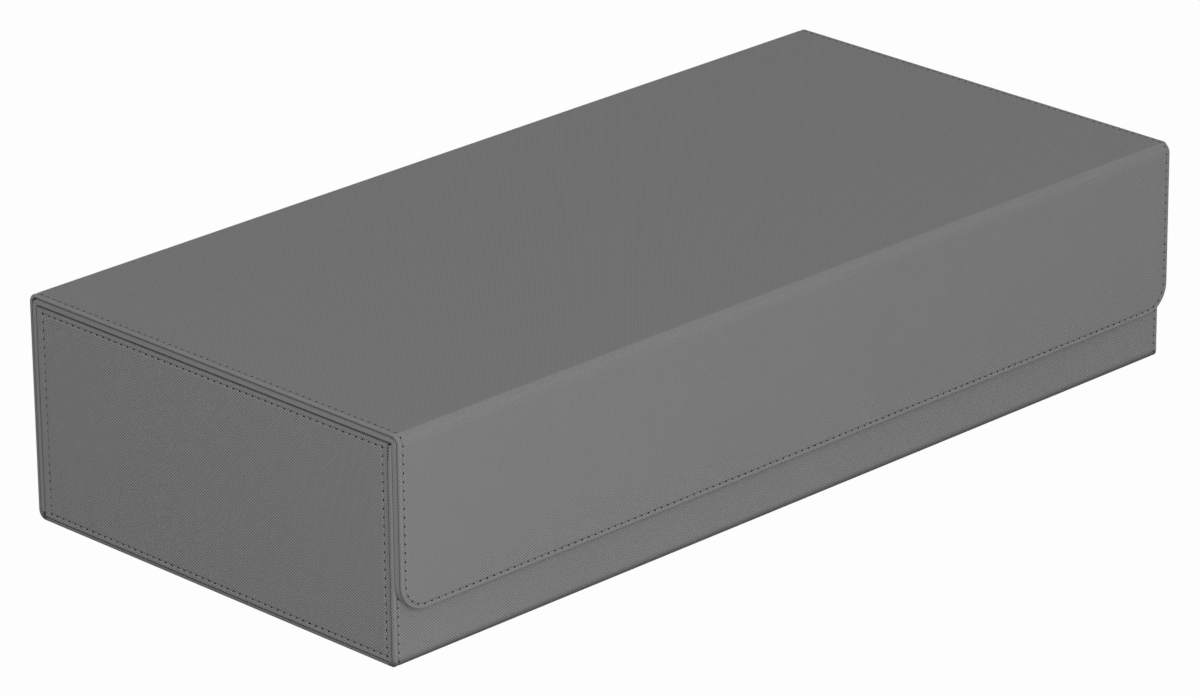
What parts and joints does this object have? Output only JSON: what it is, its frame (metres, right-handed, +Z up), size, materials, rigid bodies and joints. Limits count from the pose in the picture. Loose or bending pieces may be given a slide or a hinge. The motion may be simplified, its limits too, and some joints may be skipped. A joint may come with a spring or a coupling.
{
  "type": "card case",
  "caption": "Long low card case covered in grey leatherette, with a lid hinged along the back, a front flap held by hidden magnets, lift-out partitions, an accessory tray and dividers.",
  "frame": {"origin": "middle of the base on the table, with lid and flap closed", "axes": "+X along the case, -Y to the front with the flap, +Z up"},
  "size_m": [0.364, 0.176, 0.08],
  "materials": {
    "leatherette": "matt, fine diagonal twill embossing",
    "lining": "short soft nap",
    "board": "raw grey board",
    "magnet": "nickel plated",
    "channel": "matt",
    "tray": "fine matt grain",
    "divider": "matt film"
  },
  "bodies": {
    "case": {"back_cover_board": "board", "back_cover_lining": "lining", "back_skin": "leatherette", "back_wall_board": "board", "back_wall_lining": "lining", "base_board": "board", "base_skin": "leatherette", "bay_wall": "lining", "floor_lining": "lining", "front_board": "board", "front_lining": "lining", "front_magnets": "magnet", "front_skin": "leatherette", "left_end_board": "board", "left_end_lining": "lining", "left_end_skin": "leatherette", "partition_channels": "channel", "rear_hinge_lining": "lining", "rear_hinge_skin": "leatherette", "right_end_board": "board", "right_end_lining": "lining", "right_end_skin": "leatherette"},
    "lid": {"lid_skin": "leatherette", "lid_board": "board", "lid_lining": "lining", "front_fold_skin": "leatherette", "front_fold_lining": "lining"},
    "flap": {"flap_skin": "leatherette", "flap_board": "board", "flap_lining": "lining", "flap_magnets": "magnet"},
    "tray": {"accessory_tray": "tray"},
    "partition_1": {"partition_1": "lining"},
    "partition_2": {"partition_2": "lining"},
    "divider_1": {"divider_1": "divider"},
    "divider_2": {"divider_2": "divider"},
    "divider_3": {"divider_3": "divider"}
  },
  "joints": [
    {"name": "lid_hinge", "type": "hinge", "parent": "case", "child": "lid", "pos_m": [0, 0.087, 0.079], "axis": [-1, 0, 0], "range_deg": [0, 175], "deforming": ["rear_hinge_skin", "rear_hinge_lining"]},
    {"name": "flap_fold", "type": "hinge", "parent": "lid", "child": "flap", "pos_m": [0, -0.08689, 0.07889], "axis": [-1, 0, 0], "range_deg": [0, 90], "deforming": ["front_fold_skin", "front_fold_lining"]},
    {"name": "tray_lift", "type": "slide", "parent": "case", "child": "tray", "axis": [0, 0, 1], "range_m": [0, 0.032]},
    {"name": "partition_1_lift", "type": "slide", "parent": "case", "child": "partition_1", "axis": [0, 0, 1], "range_m": [0, 0.008]},
    {"name": "partition_2_lift", "type": "slide", "parent": "case", "child": "partition_2", "axis": [0, 0, 1], "range_m": [0, 0.008]},
    {"name": "divider_1_slide", "type": "slide", "parent": "case", "child": "divider_1", "axis": [0, -1, 0], "range_m": [0, 0.153]},
    {"name": "divider_2_slide", "type": "slide", "parent": "case", "child": "divider_2", "axis": [0, -1, 0], "range_m": [0, 0.153]},
    {"name": "divider_3_slide", "type": "slide", "parent": "case", "child": "divider_3", "axis": [0, -1, 0], "range_m": [0, 0.153]}
  ]
}
